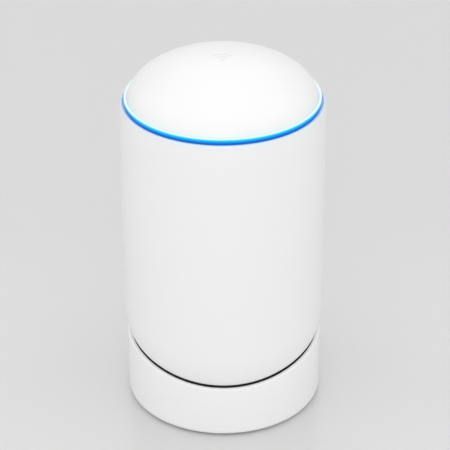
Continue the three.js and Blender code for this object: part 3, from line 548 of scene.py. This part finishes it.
def bay_outline(inset, count=10):
    width, height = 2 * (BAY_HALF - inset), BAY_TOP - BAY_BOTTOM - 2 * inset
    return rounded(0, (BAY_BOTTOM + BAY_TOP) / 2, width, height, BAY_CORNER - inset, count)


def finish_piece(obj, body, slot, material, *nodes, lift=LIFT):
    obj.data.materials.clear()
    obj.data.materials.append(material)
    obj.location.z = lift * MM
    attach(obj, body)
    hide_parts(*nodes)
    return obj


def make_shell():
    bore = BODY_R - WALL
    profile = [
        *along_seam(edge_points(28)), *wall_rows(BODY_R, ABOVE_EDGE, SHOULDER_Z), *shoulder_points(),
        (RIM_BORE + RIM_BEVEL, RIM_Z), (RIM_BORE, RIM_Z - RIM_BEVEL), (RIM_BORE, LEDGE_TOP),
        (LEDGE_R, LEDGE_TOP), (LEDGE_R, LEDGE_BOTTOM), (bore, LEDGE_BOTTOM - (bore - LEDGE_R)),
        *wall_rows(bore, BORE_TOP, ABOVE_EDGE, 8),
        *along_seam([(bore, EDGE_Z + EDGE_H), (EDGE_IN, EDGE_Z)]),
    ]
    shell = lathe("housing_shell", profile)
    cut(shell, prism("window", bay_outline(0), BEHIND, BEYOND))
    shell.data.attributes.new("bevel_weight_edge", "FLOAT", "EDGE")
    bm = bmesh.new()
    bm.from_mesh(shell.data)
    layer = bm.edges.layers.float.get("bevel_weight_edge")
    for edge in bm.edges:
        spots = [v.co for v in edge.verts]
        outer = all(math.hypot(p.x, p.y) > (BODY_R - 0.6) * MM for p in spots)
        framed = all(p.y > 0 and abs(p.x) < (BAY_HALF + 0.05) * MM for p in spots)
        if outer and framed and len(edge.link_faces) == 2 and edge.calc_face_angle(0) > math.radians(50):
            edge[layer] = 1.0
    bm.to_mesh(shell.data)
    bm.free()
    lip = shell.modifiers.new("window_round", "BEVEL")
    lip.limit_method, lip.width, lip.segments = "WEIGHT", WINDOW_ROUND * MM, 3
    bake(shell)
    return finish_piece(smooth(shell), "housing", "shell_white", SATIN_PAINTED_GLOW, "outer_shell")


def make_stand():
    bore, rim = STAND_R - WALL, STAND_R - STAND_LIP
    foot = [(LIP_R, STAND_BOTTOM), (STAND_R, STAND_BOTTOM), (STAND_R, STAND_LEVEL)]
    turns = [math.radians(15 * k) for k in range(7)]
    top = [
        (STAND_R - STAND_BEVEL * (1 - math.cos(a)), STAND_TOP - STAND_BEVEL * (1 - math.sin(a)))
        for a in turns
    ]
    ledge = [(rim, STAND_TOP), (rim, STAND_TOP - STAND_LIP_H), (bore, STAND_TOP - STAND_LIP_H)]
    stand = lathe("stand_cup", [
        *fillet(foot, {1: STAND_ROUND}, 10), *along_seam([*top, *ledge]),
        (bore, STAND_LEVEL_IN), (bore, STAND_FLOOR), (LIP_R, STAND_FLOOR),
    ])
    return finish_piece(smooth(stand), "housing", "shell_white", SATIN_PAINTED_GLOW, "stand_housing", lift=0)


def make_spacer():
    """The dark ring at the bottom of the seam."""
    collar, neck, skirt = STAND_R - STAND_LIP - GAP, BODY_R - EDGE_R - GAP, STAND_R - WALL - GAP
    low, shelf = STAND_TOP - SPACER_TAIL, STAND_TOP - STAND_LIP_H + GAP
    sunk, top = STAND_TOP - SPACER_SUNK, STAND_TOP + SEAM_GAP - GAP
    ring = lathe("seam_spacer", along_seam([
        (SPACER_IN, low), (skirt, low), (skirt, shelf), (collar, shelf), (collar, sunk), (neck, sunk),
        (neck, top), (SPACER_IN, top),
    ]))
    return finish_piece(smooth(ring), "housing", "black_plastic", BLACK, "seam_ring", lift=0)


def make_dome():
    centre = HEIGHT - LIFT - DOME_H

    def arc(inset, count, start):
        turns = [start + (math.pi / 2 - start) * k / count for k in range(count + 1)]
        return [((DOME_R - inset) * math.cos(a), centre + (DOME_H - inset) * math.sin(a)) for a in turns]

    outer = arc(0, 48, math.asin((SKIRT_TOP - centre) / DOME_H))
    inner = arc(DOME_WALL, 24, 0)
    outer[-1], inner[-1] = (0, outer[-1][1]), (0, inner[-1][1])
    cap = lathe("dome_cap", [
        *inner[::-1], (DOME_R - DOME_WALL, SKIRT_BOTTOM + SKIRT_ROUND_IN),
        (DOME_R - DOME_WALL + SKIRT_ROUND_IN, SKIRT_BOTTOM), (SKIRT_R - SKIRT_ROUND_OUT, SKIRT_BOTTOM),
        (SKIRT_R, SKIRT_BOTTOM + SKIRT_ROUND_OUT), (SKIRT_R, SKIRT_TOP - SKIRT_STEP), *outer,
    ])
    low = LEDGE_BOTTOM - LUG_DROP
    for k in range(4):
        leg = bar("leg", (LUG_IN, -LUG_HALF, low), (LUG_OUT, LUG_HALF, SKIRT_BOTTOM + LUG_ROOT))
        nose = bar("nose", (LUG_OVERLAP, -LUG_HALF, low), (LUG_NOSE, LUG_HALF, low + LUG_NOSE_H))
        join(leg, nose)
        join(cap, spin(leg, 45 + 90 * k))
    return finish_piece(smooth(cap), "housing", "shell_white", CAP_PAINTED_GLOW, "top_dome")


def make_ring():
    outline = [
        (RING_IN, RING_BOTTOM), (RING_OUT, RING_BOTTOM),
        (RING_OUT, RING_TOP), (RING_IN, RING_TOP - RING_SLOPE),
    ]
    shaped = fillet(outline, {2: RING_ROUND_OUT, 3: RING_ROUND_IN}, 6)
    start = shaped.index((RING_OUT, RING_BOTTOM)) + 1
    rows = wall_rows(RING_OUT, RING_BOTTOM, RING_TOP - RING_ROWS_END, RING_ROW)
    ring = lathe("light_ring_guide", [*shaped[:start], *rows, *shaped[start:]])
    return finish_piece(smooth(ring), "housing", "light_guide", GUIDE, "light_ring")


def make_foot():
    corners = [(FOOT_IN, 0), (FOOT_OUT, 0), (FOOT_OUT, FOOT_TOP), (FOOT_IN, FOOT_TOP)]
    foot = lathe("rubber_foot", fillet(corners, FOOT_ROUND, 5))
    return finish_piece(smooth(foot), "housing", "foot_rubber", RUBBER, "foot_ring", lift=0)


def make_base():
    plate = lathe("vented_base", [
        (0, BASE_BOTTOM), (BASE_R - BASE_ROUND, BASE_BOTTOM), (BASE_R, BASE_BOTTOM + BASE_ROUND),
        (BASE_R, BASE_FLANGE), (BASE_FLANGE_R, BASE_FLANGE), (BASE_FLANGE_R, BASE_TOP),
        (BASE_R - BASE_RIM, BASE_TOP), (BASE_R - BASE_RIM, BASE_WEB), (0, BASE_WEB),
    ], 128)
    turns = [k * math.pi / 2 for k in range(4)]
    spots = [(SCREW_CIRCLE * math.cos(a), SCREW_CIRCLE * math.sin(a)) for a in turns]
    join(plate, *[rod_z("boss", BOSS_R, BASE_BOTTOM + GAP, BASE_TOP, at) for at in spots])
    pockets = [rod_z("pocket", SCREW_HEAD_R + POCKET_GAP, 0, BASE_BOTTOM + POCKET_H, at) for at in spots]
    holes = [rod_z("hole", SHANK_R + HOLE_GAP, 0, ABOVE_BASE, at) for at in spots]
    slots = []
    for k in range(SLOT_COUNT):
        slot = bar("slot", (SLOT_IN, -SLOT_HALF, 0), (SLOT_OUT, SLOT_HALF, ABOVE_BASE))
        slots.append(spin(slot, 360 / SLOT_COUNT * (k + 0.5)))
    cut(plate, *pockets, *holes, *slots)
    soften(plate, 0.15, 2)
    return finish_piece(smooth(plate), "housing", "base_grey", BASE_GREY, "base_plate", lift=0)


def make_screw(index):
    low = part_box(f"base_screw_{index}")
    centre = (low[0] + low[1]) / 2 / MM
    z = low[0].z / MM
    head_r, head_h, shank = SCREW_HEAD_R, SCREW_HEAD_H, SHANK_R
    threads = []
    for k in range(THREAD_COUNT):
        at = head_h + THREAD_START + k * THREAD_PITCH
        threads += [(shank - THREAD_DEPTH, at), (shank, at + THREAD_PITCH / 2)]
    head = [
        (0, 0), (head_r - 0.9, 0), (head_r - 0.25, 0.35), (head_r, 0.8), (head_r, head_h), (shank, head_h),
    ]
    screw = lathe(f"pan_screw_{index}", [*head, *threads, (shank - 0.4, SHANK_END), (0, SHANK_END)], 40)
    low_end = (-RECESS_HALF, -RECESS_WIDTH, -1)
    high_end = (RECESS_HALF, RECESS_WIDTH, RECESS_DEPTH)
    cut(screw, bar("recess", low_end, high_end), spin(bar("recess", low_end, high_end), 90))
    screw.data.transform(Matrix.Translation(Vector((centre.x, centre.y, z)) * MM))
    return finish_piece(smooth(screw), "housing", "screw_steel", ZINC, f"base_screw_{index}", lift=0)


# ---------------------------------------------------------------- the port bay

def make_bezel():
    floor_back = BAY_FLOOR - BAY_FLOOR_THICK
    tub = prism("port_bay_bezel", bay_outline(BAY_GAP, 12), floor_back, BEYOND)
    cut(tub, prism("hollow", bay_outline(BAY_GAP + BAY_WALL, 12), BAY_FLOOR, BEYOND + 1))
    envelope = lathe("envelope", [(0, 3.0), (BODY_R, 3.0), (BODY_R, 150), (0, 150)])
    combine(tub, [envelope], "INTERSECT")
    for side in (-1, 1):
        for z in HOOK_HEIGHTS:
            x0, x1 = sorted((side * (BAY_HALF - BAY_WALL), side * (BAY_HALF + HOOK_REACH)))
            join(tub, bar("hook", (x0, BAY_FLOOR, z - HOOK_HALF), (x1, HOOK_Y, z + HOOK_HALF)))
    near, far = floor_back - 1, BAY_FLOOR + 1
    sockets = [rounded(0, z, JACK_W + PORT_GAP, JACK_H + PORT_GAP, 0.5, 3) for z in JACKS.values()]
    lamps = [rounded(LENS_X, z, LENS_W + LENS_GAP, LENS_H + LENS_GAP, 0.3, 3) for z in JACKS.values()]
    vents = [rounded(0, z, VENT_W, VENT_H, 0.55, 4) for z in VENT_HEIGHTS]
    inlet = rounded(0, INLET_Z, INLET_W + PORT_GAP, INLET_H + PORT_GAP, 2.2)
    tools = [prism("hole", outline, near, far) for outline in (*sockets, *lamps, *vents, inlet)]
    cut(tub, *tools, rod_y("reset_hole", RESET_HOLE_R, near, far, (0, RESET_Z), 32))
    soften(tub, 0.18, 2)
    return finish_piece(smooth(tub), "housing", "shell_white", BEZEL, "port_bezel")


def make_inlet():
    body = prism("mains_inlet", rounded(0, INLET_Z, INLET_W, INLET_H, 2), INLET_BACK, INLET_FRONT)
    flange_front = BAY_FLOOR - BAY_FLOOR_THICK - GAP
    flange = rounded(0, INLET_Z, INLET_W + FLANGE_W, INLET_H + FLANGE_H, 0.4, 3)
    join(body, prism("flange", flange, flange_front - FLANGE_THICK, flange_front))
    lobes = [rod_y("lobe", LOBE_R, CAVITY_BACK, CAVITY_FRONT, (x, INLET_Z)) for x in (-LOBE_X, LOBE_X)]
    low = (-BRIDGE_HALF, CAVITY_BACK, INLET_Z - CAVITY_HALF)
    high = (BRIDGE_HALF, CAVITY_FRONT, INLET_Z + CAVITY_HALF)
    bridge = bar("bridge", low, high)
    near, far = INLET_BACK - 1.8, CAVITY_BACK + 1
    holes = [rod_y("hole", PIN_R + PIN_GAP, near, far, (x, INLET_Z), 24) for x in (-PIN_X, PIN_X)]
    cut(body, *lobes, bridge, *holes)
    soften(body, 0.25, 3)
    return finish_piece(smooth(body), "housing", "black_plastic", BLACK, "power_inlet")


def make_pin(name, side):
    end = PIN_LENGTH
    nose = [(PIN_R, end - 0.8), (PIN_R - 0.25, end - 0.3), (PIN_R - 0.7, end)]
    pin = lathe(f"{name}_contact", [(0, 0), (PIN_R, 0), *nose, (0, end)], 32)
    pin.data.transform(Matrix.Rotation(-math.pi / 2, 4, "X"))
    pin.data.transform(Matrix.Translation(Vector((side * PIN_X, PIN_BACK, INLET_Z)) * MM))
    return finish_piece(smooth(pin), "housing", "tinned_steel", TINNED, name)


def make_reset():
    stem = rod_y("reset_key", RESET_R, RESET_BACK, RESET_TIP, (0, RESET_Z), 32)
    front = BAY_FLOOR - BAY_FLOOR_THICK - GAP
    join(stem, rod_y("collar", COLLAR_R, front - COLLAR_THICK, front, (0, RESET_Z), 32))
    soften(stem, 0.15, 2)
    return finish_piece(smooth(stem), "reset", "base_grey", BASE_GREY, "reset_button")


make_shell()
make_stand()
make_spacer()
make_dome()
make_ring()
make_foot()
make_base()
make_bezel()
make_inlet()
make_reset()
for index in range(1, 5):
    make_screw(index)
make_pin("inlet_pin_left", -1)
make_pin("inlet_pin_right", 1)


# ---------------------------------------------------------------- pieces kept from the CAD

KEPT = (
    ("jack_shield", TINNED, 0.12), ("jack_insert", BLACK, 0.12), ("jack_contacts", GOLD, 0.05),
    ("port_light_pipe", CLEAR, 0.15), ("reset_switch", BLACK, 0.1), ("power_lead_live", LEAD_BLACK, 0),
    ("power_lead_neutral", LEAD_WHITE, 0), ("core_frame", FRAME, 0.25), ("fan_frame", BLACK, 0.25),
    ("fan_rotor", BLACK, 0.12), ("main_board", BOARD, 0.05), ("power_board", BOARD, 0.05),
    ("led_ring_board", BOARD, 0.05), ("antenna_deck", BOARD, 0.05), ("processor", BLACK, 0.1),
    ("heatsink", ALUMINIUM, 0.12), ("radio_shield", TINNED, 0.12), ("transformer", TAPE, 0.25),
    ("bulk_capacitor", BLACK, 0.15),
    ("antenna_lead", LEAD_BLACK, 0), ("antenna_", TINNED, 0.08), ("fan_screw", ZINC, 0.08),
)


def dress(name, obj):
    material, width = next((m, w) for start, m, w in KEPT if name.startswith(start))
    obj.data.materials.clear()
    obj.data.materials.append(material)
    smooth(obj)
    if width:
        soften(obj, width)


for name, obj in NODES.items():
    if not obj.hide_render:
        dress(name, obj)


# ---------------------------------------------------------------- floor, light and camera

def make_floor():
    bm = bmesh.new()
    size, back, bend, rows = 3.0, 1.2, 0.6, 24
    turns = [math.pi / 2 * k / rows for k in range(1, rows + 1)]
    path = [(-size, 0.0), (back, 0.0)]
    path += [(back + bend * math.sin(a), bend * (1 - math.cos(a))) for a in turns]
    path.append((back + bend, size))
    left = [bm.verts.new((-size, y, z)) for y, z in path]
    right = [bm.verts.new((size, y, z)) for y, z in path]
    for k in range(len(path) - 1):
        bm.faces.new((left[k], right[k], right[k + 1], left[k + 1]))
    floor = new_object("studio_floor", bm)
    floor.data.shade_smooth()
    grey = (0.66, 0.66, 0.66)
    look = plain("studio_white", grey, 0.16, mottle=0.004, patch=300, grain=6, depth=0.002, swing=0.02)
    floor.data.materials.append(look)


def area(name, place, aim, size, power):
    data = bpy.data.lights.new(name, "AREA")
    data.shape, data.size, data.energy = "DISK", size, power
    lamp = bpy.data.objects.new(name, data)
    lamp.location = place
    lamp.rotation_euler = (Vector(aim) - Vector(place)).to_track_quat("-Z", "Y").to_euler()
    bpy.context.scene.collection.objects.link(lamp)


def make_world(strength):
    world = bpy.data.worlds.new("studio")
    bpy.context.scene.world = world
    world.use_nodes = True
    shade = world.node_tree.nodes["Background"]
    shade.inputs["Color"].default_value = (1, 1, 1, 1)
    shade.inputs["Strength"].default_value = strength


def make_camera():
    data = bpy.data.cameras.new("camera")
    data.sensor_width, data.lens = SENSOR, FOCAL
    data.shift_x, data.shift_y = SHIFT_X, SHIFT_Y  # small offset of the object in the frame
    camera = bpy.data.objects.new("camera", data)
    aim = Vector((0, 0, AIM_Z + LIFT * MM))
    away = Vector((0, -math.cos(ELEVATION), math.sin(ELEVATION)))
    turn = (-away).to_track_quat("-Z", "Y").to_matrix() @ Matrix.Rotation(ROLL, 3, "Z")
    camera.matrix_world = Matrix.Translation(aim + away * DISTANCE) @ turn.to_4x4()
    bpy.context.scene.collection.objects.link(camera)
    bpy.context.scene.camera = camera


make_floor()
make_world(1.11)
area("overhead", (0, 1.5, 1.4), (0, 0, 0.1), 1.6, 4.0)
area("front_fill", (0, -2.2, 0.35), (0, 0, 0.1), 1.6, 7.5)
make_camera()
bpy.context.scene.view_settings.view_transform = "Standard"
